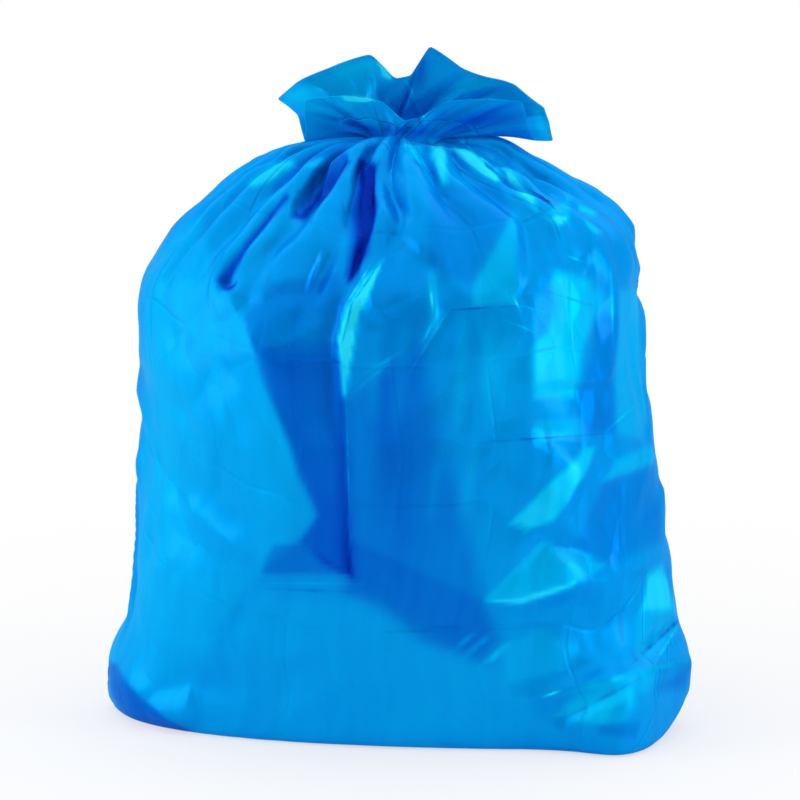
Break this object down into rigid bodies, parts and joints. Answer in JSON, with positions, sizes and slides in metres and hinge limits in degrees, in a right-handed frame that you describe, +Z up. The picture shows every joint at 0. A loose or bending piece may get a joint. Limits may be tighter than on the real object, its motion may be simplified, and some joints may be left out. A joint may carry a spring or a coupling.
{
  "type": "trash bag",
  "caption": "Filled plastic-film refuse sack standing on its base, gathered and tied at the neck, with its mouth flaring into ears above the tie.",
  "frame": {"origin": "on the floor under the middle of the sack's bounding box", "axes": "+Z up, +X to the right when facing the sack, front towards -Y"},
  "size_m": [0.5916, 0.4218, 0.675],
  "materials": {
    "film": "thin glossy blue polyethylene film, slightly translucent where it is one layer"
  },
  "bodies": {
    "root": {"trash_bag": "film"}
  },
  "joints": []
}
